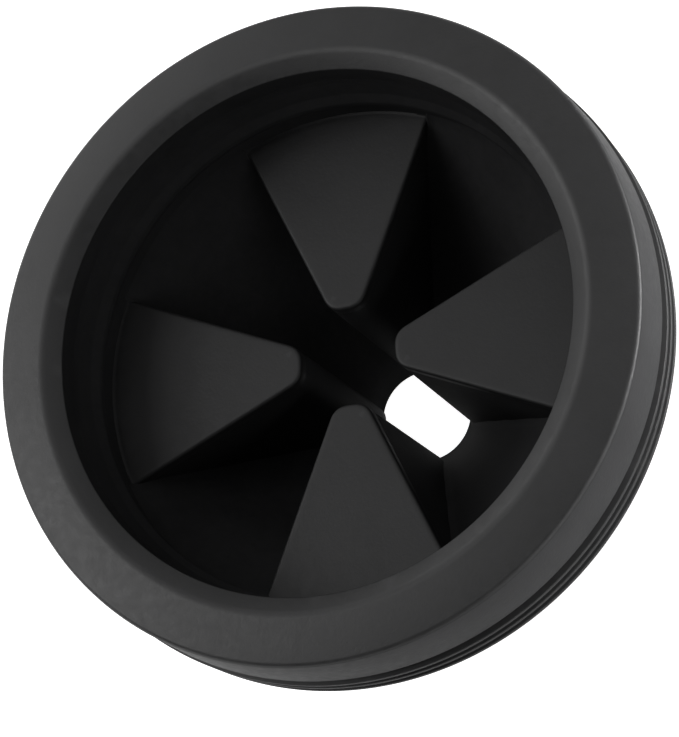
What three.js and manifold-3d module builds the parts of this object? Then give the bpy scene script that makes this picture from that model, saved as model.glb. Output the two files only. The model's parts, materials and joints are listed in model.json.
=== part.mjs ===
// Rubber splash guard of a kitchen waste disposer, in millimetres, +Z up.
// The moulding is one black rubber piece. It is split here at the lines where it flexes:
// a collar that stays still, four webs that form the funnel, and four hinged flaps.
// The origin is on the axis at the outlet end, which is the lowest point.
import * as THREE from 'three';
import { mergeVertices } from 'three/addons/utils/BufferGeometryUtils.js';
import Module from 'manifold-3d';

const wasm = await Module();
wasm.setup();

// Driving dimensions.
const HEIGHT = 45.6; // outlet end to the ridge of the rim
const COLLAR_RADIUS = 43; // greatest radius, on the rib crests
const SHOULDER_RADIUS = 42.3; // edge between the rim's outer bevel and the smooth band
const BAND_RADIUS = 42.7; // lower edge of the smooth band
const RIDGE_RADIUS = 36.1; // crest between the rim's outer and inner bevels
const BORE_RADIUS = 33.8; // throat at the rim
const SHEET = 1.6; // thickness of walls, webs and noses
const GAP = 0.3; // clearance between neighbouring pieces
const FLAP_DEPTH = 14.8; // ridge down to the flaps' top face
const FLAP_THICKNESS = 1.8;
const FLAP_TOP = HEIGHT - FLAP_DEPTH;
const FLAP_UNDERSIDE = FLAP_TOP - FLAP_THICKNESS;
const HINGE_OFFSET = 30.6; // axis to the chord that a flap bends about
const TIP_OFFSET = 6.4; // axis to a flap's tip
const EDGE_START = -0.65; // half width of a flap = EDGE_START + EDGE_SLOPE * distance from the axis
const EDGE_SLOPE = 0.4408;
const OUTLET_RADIUS = 6.3;
const NOSE_LEAN = 0.4; // how far a nose leans inwards from the flap down to the outlet
const SKIRT_INNER_RADIUS = 40.3;
const SKIRT_BOTTOM = 29.4;
const BAND_BOTTOM = 36.5; // lower edge of the smooth band
const CAP_UNDERSIDE = 41; // roof of the groove between skirt and throat wall
const THROAT_OUTER_RADIUS = 35.4;
const RIB_COUNT = 3;
const RIB_PITCH = 1.9;
const RIB_DEPTH = 1.3;
const RIB_TOP = 35.6; // where the first rib starts, below the band
const BEAD_HEIGHT = 35.2; // middle of the bead inside the throat
const BEAD_RADIUS = 0.9;
const ROUND_STEPS = 72;
const QUARTERS = 4;
const SIDES = ['east', 'north', 'west', 'south'];
const CORNERS = ['north_east', 'north_west', 'south_west', 'south_east'];

const WALL_ANGLE = Math.atan(EDGE_SLOPE);
const halfWidth = (distance) => EDGE_START + EDGE_SLOPE * distance;
const ROOT_EDGE = HINGE_OFFSET - GAP / 2;
const SEAT_CHORD = HINGE_OFFSET + GAP / 2;
const SEAT_RADIUS = Math.hypot(SEAT_CHORD, halfWidth(SEAT_CHORD) + GAP);
const WEB_TOP_RADIUS = SEAT_RADIUS - GAP;
const WEB_SLOPE = FLAP_TOP / (WEB_TOP_RADIUS - OUTLET_RADIUS);
const WEB_DROP = SHEET * Math.hypot(1, WEB_SLOPE); // thickness of a web measured upright

const rubber = () => new THREE.MeshStandardMaterial({ color: 0x1c1d1e, roughness: 0.55, metalness: 0 });

function piece(name, geometry) {
  const mesh = new THREE.Mesh(geometry, rubber());
  mesh.name = name;
  return mesh;
}

// A ring from a profile of [radius, height] points that goes round anticlockwise.
function ring(profile) {
  const points = profile.map(([radius, height]) => new THREE.Vector2(radius, height));
  points.push(points[0].clone());
  return new THREE.LatheGeometry(points, ROUND_STEPS).rotateX(Math.PI / 2);
}

function solid(geometry) {
  const bare = geometry.clone();
  bare.deleteAttribute('normal');
  bare.deleteAttribute('uv');
  const merged = mergeVertices(bare, 1e-4);
  const vertProperties = new Float32Array(merged.attributes.position.array);
  const triVerts = new Uint32Array(merged.index.array);
  return new wasm.Manifold(new wasm.Mesh({ numProp: 3, vertProperties, triVerts }));
}

function geometryOf(manifold) {
  const mesh = manifold.getMesh();
  const geometry = new THREE.BufferGeometry();
  geometry.setAttribute('position', new THREE.BufferAttribute(new Float32Array(mesh.vertProperties), 3));
  geometry.setIndex(new THREE.BufferAttribute(new Uint32Array(mesh.triVerts), 1));
  return geometry;
}

function extrude(outline, depth) {
  return new THREE.ExtrudeGeometry(outline, { depth, bevelEnabled: false, curveSegments: 6 });
}

// The rim: two bevels that meet at a ridge, a crisp shoulder and the smooth band below it.
// The roof of the groove is the seat. It stands out past the rebate that clears the throat wall.
function collarRim() {
  const neck = COLLAR_RADIUS - RIB_DEPTH;
  const rebate = THROAT_OUTER_RADIUS + GAP;
  const profile = [
    [rebate, CAP_UNDERSIDE],
    [SKIRT_INNER_RADIUS, CAP_UNDERSIDE],
    [SKIRT_INNER_RADIUS, BAND_BOTTOM - 0.4],
    [neck, BAND_BOTTOM - 0.4],
    [BAND_RADIUS - 0.2, BAND_BOTTOM],
    [BAND_RADIUS, BAND_BOTTOM + 0.3],
    [SHOULDER_RADIUS + 0.1, HEIGHT - 1.4],
    [SHOULDER_RADIUS, HEIGHT - 0.9],
    [SHOULDER_RADIUS - 0.4, HEIGHT - 0.65],
    [RIDGE_RADIUS + 0.3, HEIGHT],
    [RIDGE_RADIUS - 0.3, HEIGHT - 0.05],
    [BORE_RADIUS + 0.2, HEIGHT - 1.2],
    [BORE_RADIUS, HEIGHT - 1.5],
    [BORE_RADIUS, CAP_UNDERSIDE + GAP],
    [rebate, CAP_UNDERSIDE + GAP],
  ];
  return ring(profile);
}

// The skirt that closes round the outside of the disposer's throat, with its sealing ribs.
function outerSkirt() {
  const neck = COLLAR_RADIUS - RIB_DEPTH;
  const ribs = [];
  for (let i = RIB_COUNT - 1; i >= 0; i -= 1) {
    const top = RIB_TOP - i * RIB_PITCH;
    ribs.push([neck, top - 1.5], [COLLAR_RADIUS, top - 0.8], [COLLAR_RADIUS, top - 0.4], [neck, top]);
  }
  const profile = [
    [SKIRT_INNER_RADIUS, SKIRT_BOTTOM],
    [neck, SKIRT_BOTTOM],
    ...ribs,
    [SKIRT_INNER_RADIUS, RIB_TOP],
  ];
  return ring(profile);
}

// The inner wall of the throat. A low bead runs round it just above the flaps.
function throatWall() {
  const bottom = FLAP_TOP + GAP;
  const foot = BORE_RADIUS - 0.5;
  const profile = [
    [foot, bottom],
    [THROAT_OUTER_RADIUS, bottom],
    [THROAT_OUTER_RADIUS, CAP_UNDERSIDE],
    [BORE_RADIUS, CAP_UNDERSIDE],
    [foot + 0.2, BEAD_HEIGHT + BEAD_RADIUS + 0.2],
    [foot - 0.4, BEAD_HEIGHT + 0.5 * BEAD_RADIUS],
    [foot - 0.6, BEAD_HEIGHT],
    [foot - 0.4, BEAD_HEIGHT - 0.5 * BEAD_RADIUS],
    [foot, BEAD_HEIGHT - BEAD_RADIUS - 0.1],
  ];
  return ring(profile);
}

// The ledge at flap height: straight where a flap is hinged, round where a web meets the wall.
function hingeSeat() {
  const outline = new THREE.Shape().absarc(0, 0, THROAT_OUTER_RADIUS, 0, 2 * Math.PI, false);
  const hole = new THREE.Path();
  const corner = Math.atan2(halfWidth(SEAT_CHORD) + GAP, SEAT_CHORD);
  const quarter = Math.PI / 2;
  hole.moveTo(SEAT_RADIUS * Math.cos(-corner), SEAT_RADIUS * Math.sin(-corner));
  for (let i = 0; i < QUARTERS; i += 1) {
    hole.lineTo(SEAT_RADIUS * Math.cos(i * quarter + corner), SEAT_RADIUS * Math.sin(i * quarter + corner));
    hole.absarc(0, 0, SEAT_RADIUS, i * quarter + corner, (i + 1) * quarter - corner, false);
  }
  outline.holes.push(hole);
  const settings = { depth: FLAP_THICKNESS, bevelEnabled: false, curveSegments: ROUND_STEPS / 2 };
  return new THREE.ExtrudeGeometry(outline, settings).translate(0, 0, FLAP_UNDERSIDE);
}

// One web: the part of a conical sheet that lies between the walls of two neighbouring flaps.
function web() {
  const cone = ring([
    [OUTLET_RADIUS, 0],
    [OUTLET_RADIUS + WEB_DROP / WEB_SLOPE, 0],
    [WEB_TOP_RADIUS, FLAP_TOP - WEB_DROP],
    [WEB_TOP_RADIUS, FLAP_TOP],
  ]);
  const offset = EDGE_START + GAP / Math.cos(WALL_ANGLE);
  const apex = offset / (1 - EDGE_SLOPE);
  const reach = COLLAR_RADIUS;
  const outline = new THREE.Shape([
    new THREE.Vector2(apex, apex),
    new THREE.Vector2(reach, offset + EDGE_SLOPE * reach),
    new THREE.Vector2(reach, reach),
    new THREE.Vector2(offset + EDGE_SLOPE * reach, reach),
  ]);
  const valley = extrude(outline, HEIGHT).translate(0, 0, -1);
  return geometryOf(solid(cone).intersect(solid(valley)));
}

// Adds a flap's blunt, round-cornered tip to an outline, from the +Y edge to the -Y edge.
function tipCurve(outline, start) {
  const corner = halfWidth(TIP_OFFSET);
  const flat = 0.35 * corner;
  outline.lineTo(start, halfWidth(start));
  outline.quadraticCurveTo(TIP_OFFSET + 0.1, corner, TIP_OFFSET, flat);
  outline.lineTo(TIP_OFFSET, -flat);
  outline.quadraticCurveTo(TIP_OFFSET + 0.1, -corner, start, -halfWidth(start));
}

function flapPanel() {
  const outline = new THREE.Shape();
  outline.moveTo(ROOT_EDGE, -halfWidth(ROOT_EDGE));
  outline.lineTo(ROOT_EDGE, halfWidth(ROOT_EDGE));
  tipCurve(outline, TIP_OFFSET + SHEET);
  return extrude(outline, FLAP_THICKNESS).translate(0, 0, FLAP_UNDERSIDE);
}

// The narrow front wall below a flap's tip. It leans in towards the outlet along the side walls.
function flapNose() {
  const back = TIP_OFFSET + SHEET;
  const top = FLAP_UNDERSIDE - GAP;
  const outline = new THREE.Shape();
  outline.moveTo(back, -halfWidth(back));
  tipCurve(outline, back);
  const geometry = extrude(outline, top);
  const position = geometry.attributes.position;
  for (let i = 0; i < position.count; i += 1) {
    const distance = position.getX(i);
    const lean = NOSE_LEAN * (1 - position.getZ(i) / top);
    position.setX(i, distance - lean);
    position.setY(i, (position.getY(i) * halfWidth(distance - lean)) / halfWidth(distance));
  }
  return geometry;
}

// A flap's side wall: an upright plate under the flap's edge, down to the slope of the web.
// side is 1 for the wall on the +Y side and -1 for the other.
function flapWall(side) {
  const top = FLAP_UNDERSIDE - GAP;
  const noseTop = TIP_OFFSET + SHEET + GAP;
  const noseBottom = noseTop - NOSE_LEAN;
  const root = HINGE_OFFSET - 0.7;
  const slopeAt = (distance) =>
    (Math.hypot(distance, halfWidth(distance)) - OUTLET_RADIUS) * WEB_SLOPE - WEB_DROP;
  const along = (distance) => distance / Math.cos(WALL_ANGLE);
  const outline = new THREE.Shape([
    new THREE.Vector2(along(noseTop), top),
    new THREE.Vector2(along(noseBottom), 0),
    new THREE.Vector2(along(noseBottom + 0.5), 0),
    new THREE.Vector2(along(root), slopeAt(root)),
    new THREE.Vector2(along(root), top),
  ]);
  const plate = extrude(outline, SHEET);
  if (side < 0) plate.translate(0, 0, -SHEET);
  const direction = new THREE.Vector3(Math.cos(WALL_ANGLE), side * Math.sin(WALL_ANGLE), 0);
  const up = new THREE.Vector3(0, 0, 1);
  const across = direction.clone().cross(up);
  const place = new THREE.Matrix4().makeBasis(direction, up, across);
  place.setPosition(0, side * EDGE_START, 0);
  return plate.applyMatrix4(place);
}

function flap(side) {
  const group = new THREE.Group();
  group.add(piece(`flap_${side}_panel`, flapPanel()));
  group.add(piece(`flap_${side}_nose`, flapNose()));
  group.add(piece(`flap_${side}_wall_left`, flapWall(1)));
  group.add(piece(`flap_${side}_wall_right`, flapWall(-1)));
  return group;
}

const splashGuard = new THREE.Group();
splashGuard.add(piece('collar_rim', collarRim()));
splashGuard.add(piece('outer_skirt', outerSkirt()));
splashGuard.add(piece('throat_wall', throatWall()));
splashGuard.add(piece('hinge_seat', hingeSeat()));
for (let i = 0; i < QUARTERS; i += 1) {
  const turn = (i * Math.PI) / 2;
  const flapGroup = flap(SIDES[i]);
  flapGroup.rotation.z = turn;
  splashGuard.add(flapGroup);
  const webMesh = piece(`web_${CORNERS[i]}`, web());
  webMesh.rotation.z = turn;
  splashGuard.add(webMesh);
}

export default splashGuard;
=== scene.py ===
"""Black rubber splash guard of a kitchen waste disposer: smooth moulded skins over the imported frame.

Lengths are in millimetres in the outlines below and become metres in the meshes. The ring's axis is Z,
the flaps point along +X, +Y, -X and -Y, and the outlet end of the funnel is at height 0.
"""

import json
import math

import bpy
from mathutils import Matrix, Vector


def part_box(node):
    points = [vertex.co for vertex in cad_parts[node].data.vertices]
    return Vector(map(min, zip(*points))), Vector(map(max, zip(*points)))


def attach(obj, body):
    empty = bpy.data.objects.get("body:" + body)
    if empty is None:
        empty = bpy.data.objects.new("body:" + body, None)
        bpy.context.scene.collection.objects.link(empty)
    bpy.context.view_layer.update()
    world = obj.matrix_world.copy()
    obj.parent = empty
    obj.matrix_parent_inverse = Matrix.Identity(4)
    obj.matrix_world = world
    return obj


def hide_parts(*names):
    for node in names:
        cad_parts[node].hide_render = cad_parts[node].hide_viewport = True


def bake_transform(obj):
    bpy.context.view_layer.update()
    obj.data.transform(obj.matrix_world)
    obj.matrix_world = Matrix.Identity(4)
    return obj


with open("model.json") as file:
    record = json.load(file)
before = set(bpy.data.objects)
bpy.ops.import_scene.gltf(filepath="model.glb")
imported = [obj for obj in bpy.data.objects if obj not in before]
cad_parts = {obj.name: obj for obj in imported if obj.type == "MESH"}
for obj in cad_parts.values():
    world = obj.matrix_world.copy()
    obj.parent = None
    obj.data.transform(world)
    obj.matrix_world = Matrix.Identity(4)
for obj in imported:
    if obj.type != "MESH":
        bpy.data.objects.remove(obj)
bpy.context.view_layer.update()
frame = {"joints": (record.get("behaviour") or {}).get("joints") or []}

MM = 0.001
SIDES = ("east", "north", "west", "south")
CORNERS = ("north_east", "north_west", "south_west", "south_east")


def mm(value):
    """A length of the frame, in millimetres."""
    return value / MM


# Sizes read off the frame.
_, RIM_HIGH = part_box("collar_rim")
SKIRT_LOW, SKIRT_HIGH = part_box("outer_skirt")
PANEL_LOW, PANEL_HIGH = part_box("flap_east_panel")
COLLAR_RADIUS = mm(SKIRT_HIGH.x)
HEIGHT = mm(RIM_HIGH.z)
SKIRT_BOTTOM = mm(SKIRT_LOW.z)
FLAP_TOP = mm(PANEL_HIGH.z)
FLAP_UNDERSIDE = mm(PANEL_LOW.z)
TIP_OFFSET = mm(PANEL_LOW.x)
HINGE_OFFSET = mm(Vector(frame["joints"][0]["pos_m"]).x)

# Sizes of the moulding that the boxes don't give, the same as the frame's own.
RIDGE_RADIUS = 36.1
SHOULDER_RADIUS = 42.3
BAND_RADIUS = 42.7
BORE_RADIUS = 33.8
SHEET = 1.6
EDGE_SLOPE = 0.4408
EDGE_START = -0.65
OUTLET_RADIUS = 6.3
NOSE_LEAN = 0.4
WEB_TOP_RADIUS = 33.14
SKIRT_INNER_RADIUS = 40.3
THROAT_OUTER_RADIUS = 35.4
CAP_UNDERSIDE = 41.0
BAND_BOTTOM = 36.5
BEAD_HEIGHT = 35.2
RIB_TOP = 35.6
RIB_COUNT = 3
RIB_PITCH = 1.9
RIB_DEPTH = 1.3

# Finer shapes, softer and in places a little broader than in the frame's faceted solids.
RIB_FOOT = 1.5  # from a rib's top edge down to its bottom edge
RIB_CREST = (0.35, 1.0)  # from a rib's top edge down to the two edges of its crest
SHOULDER_DROP = 0.75  # of the outer bevel
BORE_DROP = 1.35  # of the inner bevel
BAND_STEP = 0.55  # height of the step below the smooth band
BEAD_DEPTH = 0.65
BEAD_CREST = 0.45  # half the height of the bead's crest
BEAD_TOP = 1.9  # from the bead's middle up to where it meets the wall
BEAD_FOOT = 1.7  # from its middle down to where it meets the wall

WALL_ANGLE = math.atan(EDGE_SLOPE)
WEB_SLOPE = FLAP_TOP / (WEB_TOP_RADIUS - OUTLET_RADIUS)
WEB_DROP = SHEET * math.hypot(1, WEB_SLOPE)
WALL_RADIUS = BORE_RADIUS - 0.5  # the inside of the throat wall at the height of the flaps
EMBED_RADIUS = 34.3  # how far flaps and webs reach into the throat wall, out of sight
ROOT_FILLET = 0.1  # between the flaps and the throat wall
CREASE_FILLET = 1.0  # between a web and a flap's side wall
CREASE_SHARE = 0.25  # the crease's fillet is at most this share of the distance to the outlet
WEB_CURL = 1.0  # width of the strip where a web curls up to the throat wall
WEB_CURL_RISE = 0.5  # at the end of that strip
COVER = 0.06  # step between two skins that would otherwise lie in one plane where they overlap


# ---------------------------------------------------------------- meshes


def new_object(name, points, faces, material, turn=0.0):
    """A smooth-shaded mesh object from points in millimetres, turned about Z."""
    spin = Matrix.Rotation(turn, 4, "Z")
    mesh = bpy.data.meshes.new(name)
    mesh.from_pydata([spin @ (Vector(p) * MM) for p in points], [], faces)
    mesh.validate()
    mesh.materials.append(material)
    obj = bpy.data.objects.new(name, mesh)
    bpy.context.scene.collection.objects.link(obj)
    mesh.shade_smooth()
    mesh.set_sharp_from_angle(angle=math.radians(50))
    return obj


def rounded(corners, steps=6):
    """A closed outline from (x, y, radius) corners, each corner rounded by an arc of that radius."""
    outline = []
    count = len(corners)
    for i, (x, y, radius) in enumerate(corners):
        here = Vector((x, y))
        before = (Vector(corners[i - 1][:2]) - here).normalized()
        after = (Vector(corners[(i + 1) % count][:2]) - here).normalized()
        half = before.angle(after) / 2
        middle = (before + after).normalized()
        centre = here + middle * (radius / math.sin(half))
        start = here + before * (radius / math.tan(half)) - centre
        sweep = start.angle_signed(here + after * (radius / math.tan(half)) - centre)
        for k in range(steps + 1):
            angle = -sweep * k / steps
            arm = Matrix.Rotation(angle, 2) @ start
            outline.append(tuple(centre + arm))
    return outline


def lathe(name, outline, steps, material):
    """A ring whose section is the closed outline of (radius, height) points, anticlockwise."""
    points, faces = [], []
    count = len(outline)
    for i in range(steps):
        angle = 2 * math.pi * i / steps
        points += [(r * math.cos(angle), r * math.sin(angle), z) for r, z in outline]
    for i in range(steps):
        for j in range(count):
            a = i * count + j
            b = i * count + (j + 1) % count
            c = ((i + 1) % steps) * count + (j + 1) % count
            d = ((i + 1) % steps) * count + j
            faces.append((a, d, c, b))
    return new_object(name, points, faces, material)


# ---------------------------------------------------------------- collar


def collar_outline():
    """Section of the collar: skirt and ribs, smooth band, shoulder, two bevels and the groove's roof."""
    neck = COLLAR_RADIUS - RIB_DEPTH
    corners = [(SKIRT_INNER_RADIUS, SKIRT_BOTTOM, 0.3), (neck, SKIRT_BOTTOM, 0.3)]
    for i in reversed(range(RIB_COUNT)):
        top = RIB_TOP - i * RIB_PITCH
        corners += [
            (neck, top - RIB_FOOT, 0.15),
            (COLLAR_RADIUS, top - RIB_CREST[1], 0.15),
            (COLLAR_RADIUS, top - RIB_CREST[0], 0.15),
            (neck, top, 0.15),
        ]
    corners += [
        (neck, BAND_BOTTOM - BAND_STEP, 0.1),
        (BAND_RADIUS, BAND_BOTTOM, 0.3),
        (SHOULDER_RADIUS, HEIGHT - SHOULDER_DROP, 0.7),
        (RIDGE_RADIUS, HEIGHT, 1.8),
        (BORE_RADIUS, HEIGHT - BORE_DROP, 0.25),
        (BORE_RADIUS, CAP_UNDERSIDE, 0.1),
        (SKIRT_INNER_RADIUS, CAP_UNDERSIDE, 0.6),
    ]
    return rounded(corners)


def throat_outline():
    """Section of the throat wall. A soft bead runs round its inside, above the flaps."""
    hidden_top = CAP_UNDERSIDE + 0.6
    throat_foot = FLAP_UNDERSIDE - COVER
    return rounded(
        [
            (THROAT_OUTER_RADIUS, throat_foot, 0.5),
            (THROAT_OUTER_RADIUS, hidden_top, 0.2),
            (BORE_RADIUS + 0.03, hidden_top, 0.2),
            (BORE_RADIUS - 0.03, CAP_UNDERSIDE - 1, 3.0),
            (WALL_RADIUS + 0.1, BEAD_HEIGHT + BEAD_TOP, 1.2),
            (WALL_RADIUS - BEAD_DEPTH, BEAD_HEIGHT + BEAD_CREST, 0.9),
            (WALL_RADIUS - BEAD_DEPTH, BEAD_HEIGHT - BEAD_CREST, 0.9),
            (WALL_RADIUS, BEAD_HEIGHT - BEAD_FOOT, 1.2),
            (WALL_RADIUS, throat_foot, 0.3),
        ]
    )


# ---------------------------------------------------------------- webs

WEB_STATIONS = 44


def cone_height(radius):
    """Height of a web's upper face at a distance from the axis."""
    return (radius - OUTLET_RADIUS) * WEB_SLOPE


def wall_bearing(radius, tuck):
    """Bearing, from a flap's middle line, of its wall's outer face at a distance from the axis.

    tuck is how far the point lies behind that face, inside the wall.
    """
    bearing = WALL_ANGLE
    for _ in range(8):
        along = radius * math.cos(bearing)
        across = EDGE_START + EDGE_SLOPE * along - tuck / math.cos(WALL_ANGLE)
        bearing = math.asin(across / radius)
    return bearing


def fillet_rise(gap, radius):
    """Height of a concave fillet at a distance from the wall it runs up to."""
    part = min(max(1 - gap / radius, 0.0), 1.0)
    return radius * (1 - math.sqrt(1 - part**2))


def web_section():
    """Outline of a web in (radius, height), from the hidden top end down to the rounded outlet lip."""
    normal = Vector((WEB_SLOPE, -1)).normalized() * SHEET
    top = EMBED_RADIUS - 0.3
    steps = WEB_STATIONS
    # The points crowd towards the top end, where the web curls up to the throat wall.
    slope = [top - (top - OUTLET_RADIUS) * (k / steps) ** 1.5 for k in range(steps)]
    upper = [(r, cone_height(r)) for r in slope if r > OUTLET_RADIUS + 0.5]
    lower_end = OUTLET_RADIUS + WEB_DROP / WEB_SLOPE
    lip = [
        (OUTLET_RADIUS + 0.33, cone_height(OUTLET_RADIUS + 0.33)),
        (OUTLET_RADIUS + 0.1, 0.22),
        (OUTLET_RADIUS + 0.22, COVER + 0.05),
        (OUTLET_RADIUS + 0.55, COVER),
        (lower_end - 0.4, COVER),
        (lower_end, 0.25),
    ]
    lower = [(r + normal.x, cone_height(r) + normal.y) for r in reversed(slope)]
    lower = [(r, z) for r, z in lower if z > 0.6 and r < EMBED_RADIUS]
    return upper + lip + lower, len(upper)


def web_rise(x, y, height):
    """How far a web's upper face lies above its cone: the fillets at the flaps' and the throat's walls."""
    radius = math.hypot(x, y)
    gap = (min(x, y) - EDGE_START - EDGE_SLOPE * max(x, y)) * math.cos(WALL_ANGLE)
    reach = min(CREASE_FILLET, CREASE_SHARE * (radius - OUTLET_RADIUS))
    rise = fillet_rise(gap, reach) if reach > 0.05 else 0.0
    rise += WEB_CURL_RISE * max(radius - WALL_RADIUS + WEB_CURL, 0.0) ** 2
    if gap < 0:
        # The strip tucked inside a flap's wall stays below the flap's top.
        return min(rise, max(FLAP_UNDERSIDE + 0.5 - height, 0.0))
    return rise


def web(name, material, turn):
    """One sloping floor between two flaps, with fillets along the flaps' walls and the throat wall."""
    section, upper_count = web_section()
    across = WEB_STATIONS
    points, faces = [], []
    for j, (radius, height) in enumerate(section):
        edge = math.pi / 4 - wall_bearing(radius, SHEET + 0.02)
        for k in range(across + 1):
            angle = math.pi / 4 - edge * math.cos(math.pi * k / across)
            x, y = radius * math.cos(angle), radius * math.sin(angle)
            rise = web_rise(x, y, height) if j < upper_count else 0.0
            points.append((x, y, height + rise))
    row = across + 1
    count = len(section)
    for j in range(count):
        following = (j + 1) % count
        for k in range(across):
            corner = j * row + k
            below = following * row + k
            faces.append((corner, below, below + 1, corner + 1))
    faces.append(tuple(j * row for j in reversed(range(count))))
    faces.append(tuple(j * row + across for j in range(count)))
    return new_object(name, points, faces, material, turn)


# ---------------------------------------------------------------- flaps

ROOT_STATIONS = 12
EDGE_STATIONS = 26
TIP_STATIONS = 9
ACROSS = 14
EDGE_FILLET = 0.45
WALL_STEPS = 20
TIP_CORNER = 1.5  # how far from the tip a flap's edge starts to round
ROOT_LENGTH = 2.7  # length at a flap's root with close stations, for the fillet there
WALL_GRIP = 0.3  # how deep the foot of a side wall goes into the web
FOOT_ROUND = 0.25
FAN_START = 26.0  # distance from the axis from which rows across a flap follow the throat wall
FAN_LENGTH = 5.5


def half_width(distance, inset):
    """Half a flap's width at a distance from the axis, inside its edge by the inset."""
    return EDGE_START + EDGE_SLOPE * distance - inset / math.cos(WALL_ANGLE)


def side_path(inset):
    """One side of a flap's plan at an inset from its edge: from the root to the middle of the tip."""
    tip = TIP_OFFSET + inset
    corner = tip + max(TIP_CORNER - 0.5 * inset, 0.35)
    root = HINGE_OFFSET
    while math.hypot(root, half_width(root, inset)) < EMBED_RADIUS:
        root += 0.02
    distances = [root - ROOT_LENGTH * k / ROOT_STATIONS for k in range(ROOT_STATIONS)]
    rest = root - ROOT_LENGTH - corner
    distances += [root - ROOT_LENGTH - rest * k / EDGE_STATIONS for k in range(EDGE_STATIONS)]
    path = [(distance, half_width(distance, inset)) for distance in distances]
    start = Vector((corner, half_width(corner, inset)))
    knee = Vector((tip + 0.1, half_width(tip, inset)))
    end = Vector((tip, 0.3 * half_width(tip, inset)))
    for k in range(TIP_STATIONS):
        t = k / (TIP_STATIONS - 1)
        point = start * (1 - t) ** 2 + knee * 2 * t * (1 - t) + end * t**2
        path.append((point.x, point.y))
    return path


def wall_foot(distance, across):
    """Height of a side wall's lower edge: just inside the web's lower face, and 0 at the nose."""
    radius = math.hypot(distance, across)
    return min(max(cone_height(radius) - WEB_DROP + WALL_GRIP, 0.0), FLAP_UNDERSIDE - 0.7)


def leaned(distance, across, height):
    """Moves a point of the side walls towards the axis as it goes down, along the wall's own plane."""
    share = min(max((HINGE_OFFSET - distance) / (HINGE_OFFSET - TIP_OFFSET), 0.0), 1.0)
    moved = distance - NOSE_LEAN * share * max(1 - height / FLAP_UNDERSIDE, 0.0)
    return moved, across * half_width(moved, 0) / half_width(distance, 0), height


def raised(distance, across, height):
    """Lifts a point of the panel's top where it runs up the throat wall in a fillet."""
    gap = WALL_RADIUS - math.hypot(distance, across)
    share = (height - FLAP_UNDERSIDE) / (FLAP_TOP - FLAP_UNDERSIDE)
    return distance, across, height + share * fillet_rise(gap, ROOT_FILLET)


def ring_of(path, heights, place):
    """Points of one level, from the root along one side, round the tip and back along the other."""
    near = [place(x, y, z) for (x, y), z in zip(path, heights)]
    far = [place(x, -y, z) for (x, y), z in zip(path, heights)]
    return near + far[::-1]


def side_faces(levels, stations, closed):
    """Quads between neighbouring levels, and from the last level to the first if closed."""
    faces = []
    for j in range(levels if closed else levels - 1):
        above, below = j * stations, ((j + 1) % levels) * stations
        for i in range(stations - 1):
            faces.append((above + i, above + i + 1, below + i + 1, below + i))
    return faces


def fill_across(points, faces, first, stations, top):
    """Closes the area inside a level with rows of points, which follow the throat wall near the root."""
    rows = []
    for i in range(stations // 2):
        left, right = first + i, first + stations - 1 - i
        x, y, z = points[left] if not top else top[i]
        radius = math.hypot(x, y)
        reach = min(max((radius - FAN_START) / FAN_LENGTH, 0.0), 1.0)
        row = [left]
        for k in range(1, ACROSS):
            across = y * (1 - 2 * k / ACROSS)
            along = x + reach * (math.sqrt(radius**2 - across**2) - x)
            row.append(len(points))
            points.append(raised(along, across, z) if top else (along, across, z))
        rows.append(row + [right])
    for above, below in zip(rows, rows[1:]):
        for k in range(ACROSS):
            quad = (above[k], above[k + 1], below[k + 1], below[k])
            faces.append(quad if top else quad[::-1])
    return rows[0]


def panel(name, material, turn):
    """The flap's flat top with its rounded edges, closed below and at the root inside the throat wall."""
    levels = [(1.3, FLAP_TOP), (0.8, FLAP_TOP)]
    for k in range(6):
        angle = math.pi / 2 * k / 5
        inset = EDGE_FILLET * (1 - math.sin(angle))
        levels.append((inset, FLAP_TOP - EDGE_FILLET * (1 - math.cos(angle))))
    levels += [(0.0, FLAP_UNDERSIDE + 0.6), (0.0, FLAP_UNDERSIDE)]
    points = []
    for inset, height in levels:
        path = side_path(inset)
        points += ring_of(path, [height] * len(path), raised)
    stations = len(points) // len(levels)
    faces = side_faces(len(levels), stations, closed=False)
    flat = [(x, y, FLAP_TOP) for x, y in side_path(levels[0][0])]
    top_row = fill_across(points, faces, 0, stations, flat)
    under_row = fill_across(points, faces, (len(levels) - 1) * stations, stations, None)
    for k in range(ACROSS):
        faces.append((top_row[k], under_row[k], under_row[k + 1], top_row[k + 1]))
    faces.append(tuple(j * stations for j in reversed(range(len(levels)))))
    faces.append(tuple(j * stations + stations - 1 for j in range(len(levels))))
    return new_object(name, points, faces, material, turn)


def pleat(name, material, turn):
    """The side walls and the nose below a panel: one folded sheet, down to the web and the outlet."""
    outer, inner = side_path(0.0), side_path(SHEET)
    feet = [wall_foot(x, y) for x, y in outer]
    levels = []
    for k in range(WALL_STEPS + 1):
        share = k / WALL_STEPS
        levels.append([FLAP_UNDERSIDE + (foot + FOOT_ROUND - FLAP_UNDERSIDE) * share for foot in feet])
    points = []
    for heights in levels:
        points += ring_of(outer, heights, leaned)
    points += ring_of(side_path(FOOT_ROUND), feet, leaned)
    points += ring_of(side_path(SHEET - FOOT_ROUND), feet, leaned)
    for heights in reversed(levels):
        points += ring_of(inner, heights, leaned)
    level_count = 2 * len(levels) + 2
    stations = len(points) // level_count
    faces = side_faces(level_count, stations, closed=True)
    faces.append(tuple(j * stations for j in reversed(range(level_count))))
    faces.append(tuple(j * stations + stations - 1 for j in range(level_count)))
    return new_object(name, points, faces, material, turn)


def bend_from_hinge(skin):
    """Bakes the skin's placement into its mesh; the skin does not bend with its flap."""
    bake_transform(skin)


# ---------------------------------------------------------------- material


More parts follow.
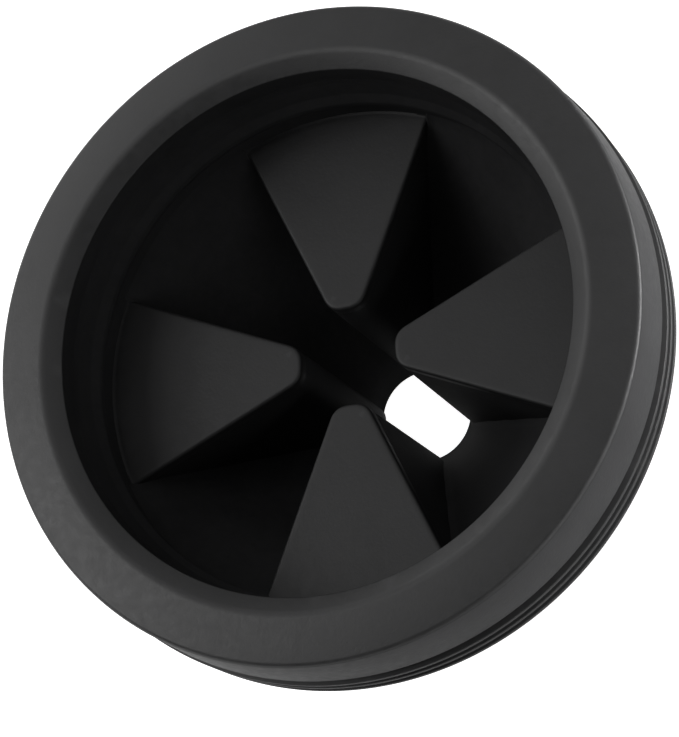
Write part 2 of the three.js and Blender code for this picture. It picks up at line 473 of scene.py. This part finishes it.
def add_node(tree, kind, place, **settings):
    """A new shader node at a place in the node editor."""
    node = tree.nodes.new(kind)
    node.location = place
    for key, value in settings.items():
        setattr(node, key, value)
    return node


def noise(tree, coords, place, scale, detail, roughness):
    """A noise pattern, from 0 to 1, of a given number of cells per metre."""
    node = add_node(tree, "ShaderNodeTexNoise", place)
    node.inputs["Scale"].default_value = scale
    node.inputs["Detail"].default_value = detail
    node.inputs["Roughness"].default_value = roughness
    tree.links.new(coords, node.inputs["Vector"])
    return node.outputs["Fac"]


def remap(tree, value, place, low, high, to_low, to_high):
    """The value's range from low to high, spread over another range."""
    node = add_node(tree, "ShaderNodeMapRange", place)
    for key, number in zip(("From Min", "From Max", "To Min", "To Max"), (low, high, to_low, to_high)):
        node.inputs[key].default_value = number
    tree.links.new(value, node.inputs["Value"])
    return node.outputs["Result"]


def math_node(tree, operation, place, a, b):
    """A sum or product of two values, each a number or another node's output."""
    node = add_node(tree, "ShaderNodeMath", place, operation=operation)
    for socket, value in zip(node.inputs, (a, b)):
        if isinstance(value, (int, float)):
            socket.default_value = value
        else:
            tree.links.new(value, socket)
    return node.outputs[0]


MATT_SPECULAR = 0.03  # upright walls, which keep the dull skin of the mould
CLOUD_SCALE, SPECKLE_SCALE, SKIN_SCALE = 130, 900, 2600  # cells per metre
MOTTLE = 0.1  # how far clouds and speckle each change the tone
GLOSS_SPREAD = 0.05
COOL_TINT = 1.03  # blue against red and green


def rubber(name, tone, gloss, grain, polish):
    """Black moulded rubber: cloudy tone, a fine grain, and slightly paler edges, partly scuffed wear and
    partly a painted highlight along them.

    tone is the reflectance, gloss the surface roughness, grain the depth of the bump in metres, and
    polish the specular level of the faces that look up, which are rubbed smooth.
    """
    material = bpy.data.materials.new(name)
    material.use_nodes = True
    tree = material.node_tree
    shader = tree.nodes["Principled BSDF"]
    coords = add_node(tree, "ShaderNodeTexCoord", (-1400, 0)).outputs["Object"]
    clouds = noise(tree, coords, (-1200, 300), CLOUD_SCALE, 4, 0.55)
    speckle = noise(tree, coords, (-1200, 50), SPECKLE_SCALE, 3, 0.6)
    skin = noise(tree, coords, (-1200, -200), SKIN_SCALE, 2, 0.5)
    geometry = add_node(tree, "ShaderNodeNewGeometry", (-1200, -450))
    # Convex edges painted paler: partly scuffed wear, partly a painted highlight along the edges.
    edge_wear_and_highlight = remap(tree, geometry.outputs["Pointiness"], (-1000, -450), 0.52, 0.62, 0.0, 0.5)
    cloud_tone = remap(tree, clouds, (-1000, 300), 0.3, 0.7, 1 - MOTTLE, 1 + MOTTLE)
    speckle_tone = remap(tree, speckle, (-1000, 50), 0.3, 0.7, 1 - MOTTLE, 1 + MOTTLE)
    mottle = math_node(tree, "MULTIPLY", (-800, 200), cloud_tone, speckle_tone)
    mottle_wear_and_highlight = math_node(tree, "ADD", (-600, 100), mottle, edge_wear_and_highlight)
    bright = math_node(tree, "MULTIPLY", (-450, 100), mottle_wear_and_highlight, tone)
    colour = add_node(tree, "ShaderNodeCombineColor", (-250, 150))
    tint = math_node(tree, "MULTIPLY", (-400, -50), bright, COOL_TINT)
    tree.links.new(bright, colour.inputs["Red"])
    tree.links.new(bright, colour.inputs["Green"])
    tree.links.new(tint, colour.inputs["Blue"])
    tree.links.new(colour.outputs["Color"], shader.inputs["Base Color"])
    low_gloss, high_gloss = gloss - GLOSS_SPREAD, gloss + GLOSS_SPREAD
    rough = remap(tree, speckle, (-600, -200), 0.3, 0.7, low_gloss, high_gloss)
    tree.links.new(rough, shader.inputs["Roughness"])
    height = math_node(tree, "ADD", (-600, -400), skin, speckle)
    bump = add_node(tree, "ShaderNodeBump", (-300, -350))
    bump.inputs["Strength"].default_value = 0.6
    bump.inputs["Distance"].default_value = grain
    tree.links.new(height, bump.inputs["Height"])
    tree.links.new(bump.outputs["Normal"], shader.inputs["Normal"])
    facing = add_node(tree, "ShaderNodeSeparateXYZ", (-600, -650))
    tree.links.new(geometry.outputs["Normal"], facing.inputs["Vector"])
    sheen = remap(tree, facing.outputs["Z"], (-400, -650), 0.3, 0.9, MATT_SPECULAR, polish)
    tree.links.new(sheen, shader.inputs["Specular IOR Level"])
    return material


# ---------------------------------------------------------------- surroundings


FLOOR_SIZE = 6.0  # metres
WORLD_LIGHT = 0.07
SOFTBOX_SIZE = (0.5, 0.4)  # metres
SOFTBOX_DISTANCE = 0.9
STRIP_SIZE = (0.16, 0.035)  # the low light that brightens the side band at the right
STRIP_DISTANCE = 0.3
STRIP_AIM = (0, 0, 26)  # millimetres
# The large softboxes round the guard: bearing from +X, elevation, brightness against the floor's 1.
SOFTBOXES = (
    (180, 35, 2.8),
    (180, 55, 2.2),
    (137, 15, 1.6),
    (137, 35, 0.9),
    (137, 76, 0.65),
    (92, 35, 0.6),
    (40, 55, 0.9),
    (-43, 20, 2.5),
)


def make_floor():
    """A plain white floor that glows, so that it stays white under the guard and lights it from below."""
    half = FLOOR_SIZE / 2
    corners = [(-half, -half, 0), (half, -half, 0), (half, half, 0), (-half, half, 0)]
    mesh = bpy.data.meshes.new("floor")
    mesh.from_pydata(corners, [], [(0, 1, 2, 3)])
    floor = bpy.data.objects.new("floor", mesh)
    bpy.context.scene.collection.objects.link(floor)
    material = bpy.data.materials.new("white_sweep")
    material.use_nodes = True
    shader = material.node_tree.nodes["Principled BSDF"]
    shader.inputs["Base Color"].default_value = (0.8, 0.8, 0.8, 1)
    shader.inputs["Roughness"].default_value = 0.6
    shader.inputs["Emission Color"].default_value = (1, 1, 1, 1)
    shader.inputs["Emission Strength"].default_value = 1.0
    mesh.materials.append(material)


def soft_light(name, azimuth, elevation, distance, size, radiance, aim=(0, 0, 31)):
    """A softbox that faces the guard, of a width and height in metres.

    Azimuth is the bearing from +X and radiance is its brightness against the white floor's 1.
    """
    data = bpy.data.lights.new(name, "AREA")
    data.shape = "RECTANGLE"
    data.size, data.size_y = size
    data.energy = radiance * math.pi * size[0] * size[1]
    light = bpy.data.objects.new(name, data)
    a, e = math.radians(azimuth), math.radians(elevation)
    back = Vector((math.cos(a) * math.cos(e), math.sin(a) * math.cos(e), math.sin(e)))
    light.location = Vector(aim) * MM + back * distance
    light.rotation_euler = back.to_track_quat("Z", "Y").to_euler()
    bpy.context.scene.collection.objects.link(light)


CAMERA_PLACE = (105.5, -98.7, 315.7)  # millimetres
CAMERA_FORWARD = (-0.3339, 0.3044, -0.8921)
CAMERA_UP = (0.153, 0.9514, 0.2673)
CAMERA_LENS = 122.1
CAMERA_SENSOR = 36


def make_camera():
    """The photograph's view: a long lens above the guard, rolled so that its south flap hangs down."""
    place = Vector(CAMERA_PLACE) * MM
    forward = Vector(CAMERA_FORWARD).normalized()
    right = forward.cross(Vector(CAMERA_UP)).normalized()
    up = right.cross(forward)
    data = bpy.data.cameras.new("camera")
    data.lens = CAMERA_LENS
    data.sensor_width = CAMERA_SENSOR
    data.clip_start = 0.01
    camera = bpy.data.objects.new("camera", data)
    turn = Matrix((right, up, -forward)).transposed()
    camera.matrix_world = Matrix.Translation(place) @ turn.to_4x4()
    bpy.context.scene.collection.objects.link(camera)
    bpy.context.scene.camera = camera


def make_world():
    """A faint even light from all round, which keeps the shadows from being pure black."""
    world = bpy.data.worlds.new("studio")
    world.use_nodes = True
    background = world.node_tree.nodes["Background"]
    background.inputs["Color"].default_value = (1, 1, 1, 1)
    background.inputs["Strength"].default_value = WORLD_LIGHT
    bpy.context.scene.world = world
    bpy.context.scene.view_settings.view_transform = "Standard"


# ---------------------------------------------------------------- the scene

make_camera()
make_world()
make_floor()
for bearing, elevation, brightness in SOFTBOXES:
    name = f"softbox_{bearing}_{elevation}"
    soft_light(name, bearing, elevation, SOFTBOX_DISTANCE, SOFTBOX_SIZE, brightness)
soft_light("side_strip", 8, 0, STRIP_DISTANCE, STRIP_SIZE, 75, aim=STRIP_AIM)

collar_rubber = rubber("collar_rubber", tone=0.022, gloss=0.48, grain=0.025 * MM, polish=0.57)
funnel_rubber = rubber("funnel_rubber", tone=0.023, gloss=0.75, grain=0.02 * MM, polish=0.08)
flap_rubber = rubber("flap_rubber", tone=0.021, gloss=0.5, grain=0.025 * MM, polish=0.38)

collar = lathe("collar_skin", collar_outline(), 288, collar_rubber)
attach(collar, "collar")
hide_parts("collar_rim", "outer_skirt")

throat = lathe("throat_skin", throat_outline(), 288, funnel_rubber)
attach(throat, "collar")
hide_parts("throat_wall", "hinge_seat")

for index, (side, corner) in enumerate(zip(SIDES, CORNERS)):
    quarter = index * math.pi / 2
    valley = web(f"web_{corner}_skin", funnel_rubber, quarter)
    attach(valley, "collar")
    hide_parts(f"web_{corner}")
    top = panel(f"flap_{side}_panel_skin", flap_rubber, quarter)
    bend_from_hinge(top)
    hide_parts(f"flap_{side}_panel")
    fold = pleat(f"flap_{side}_pleat_skin", funnel_rubber, quarter)
    bend_from_hinge(fold)
    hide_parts(f"flap_{side}_nose", f"flap_{side}_wall_left", f"flap_{side}_wall_right")
